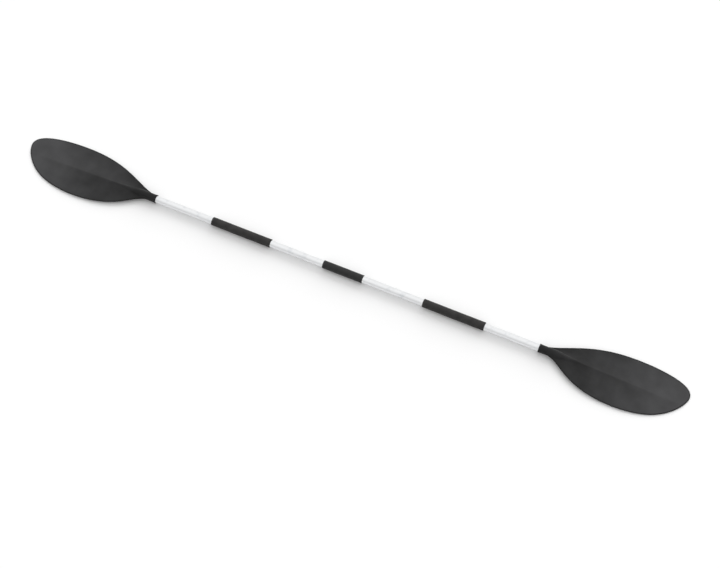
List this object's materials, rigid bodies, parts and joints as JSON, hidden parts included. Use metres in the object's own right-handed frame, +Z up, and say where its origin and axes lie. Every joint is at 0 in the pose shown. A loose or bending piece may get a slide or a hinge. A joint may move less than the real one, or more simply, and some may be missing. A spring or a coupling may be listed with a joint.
{
  "type": "kayak paddle",
  "caption": "Take-apart kayak paddle: mirrored asymmetric plastic blades on an aluminium shaft with foam grips, joined by a snap-button sleeve.",
  "frame": {"origin": "on the floor, under the shaft at the middle of the joint sleeve, with the paddle lying convex side up", "axes": "+X along the shaft towards the half with the snap button, +Y towards the long edge of both blades, +Z up, out of the blades' convex backs"},
  "size_m": [2.4, 0.1914, 0.0315],
  "materials": {
    "blade_plastic": "fine-textured glass-filled nylon, charcoal black",
    "tube_aluminium": "satin anodised, silver",
    "sleeve_plastic": "moulded, matte black",
    "grip_foam": "closed-cell foam rubber, matte black",
    "ring_rubber": "smooth black rubber",
    "plug_foam": "grey closed-cell foam",
    "rivet_aluminium": "plain, slightly dulled",
    "mandrel_steel": "zinc-plated steel, snapped end",
    "button_steel": "stainless, polished by use",
    "spring_steel": "spring steel leaf"
  },
  "bodies": {
    "left_half": {"left_blade": "blade_plastic", "left_tube": "tube_aluminium", "left_grip": "grip_foam", "joint_sleeve": "sleeve_plastic", "sleeve_rivets": "rivet_aluminium", "sleeve_rivet_mandrels": "mandrel_steel", "left_blade_rivets": "rivet_aluminium", "left_blade_rivet_mandrels": "mandrel_steel", "left_inner_plug": "plug_foam", "left_outer_plug": "plug_foam"},
    "feather_ring": {"mouth_ring": "ring_rubber"},
    "right_half": {"right_blade": "blade_plastic", "right_tube": "tube_aluminium", "right_grip": "grip_foam", "right_blade_rivets": "rivet_aluminium", "right_blade_rivet_mandrels": "mandrel_steel", "right_inner_plug": "plug_foam", "right_outer_plug": "plug_foam", "snap_spring": "spring_steel"},
    "snap_button": {"snap_button": "button_steel"}
  },
  "joints": [
    {"name": "feather_twist", "type": "hinge", "parent": "left_half", "child": "feather_ring", "pos_m": [0, 0, 0.017], "axis": [1, 0, 0], "range_deg": [-60, 0], "deforming": ["snap_button", "snap_spring"]},
    {"name": "shaft_pull", "type": "slide", "parent": "feather_ring", "child": "right_half", "axis": [1, 0, 0], "range_m": [0, 0.1], "deforming": ["snap_button", "snap_spring"]},
    {"name": "button_press", "type": "slide", "parent": "right_half", "child": "snap_button", "axis": [0, -1, 0], "range_m": [0, 0.0034], "stiffness_N_per_m": 1500, "deforming": ["snap_spring"]}
  ]
}
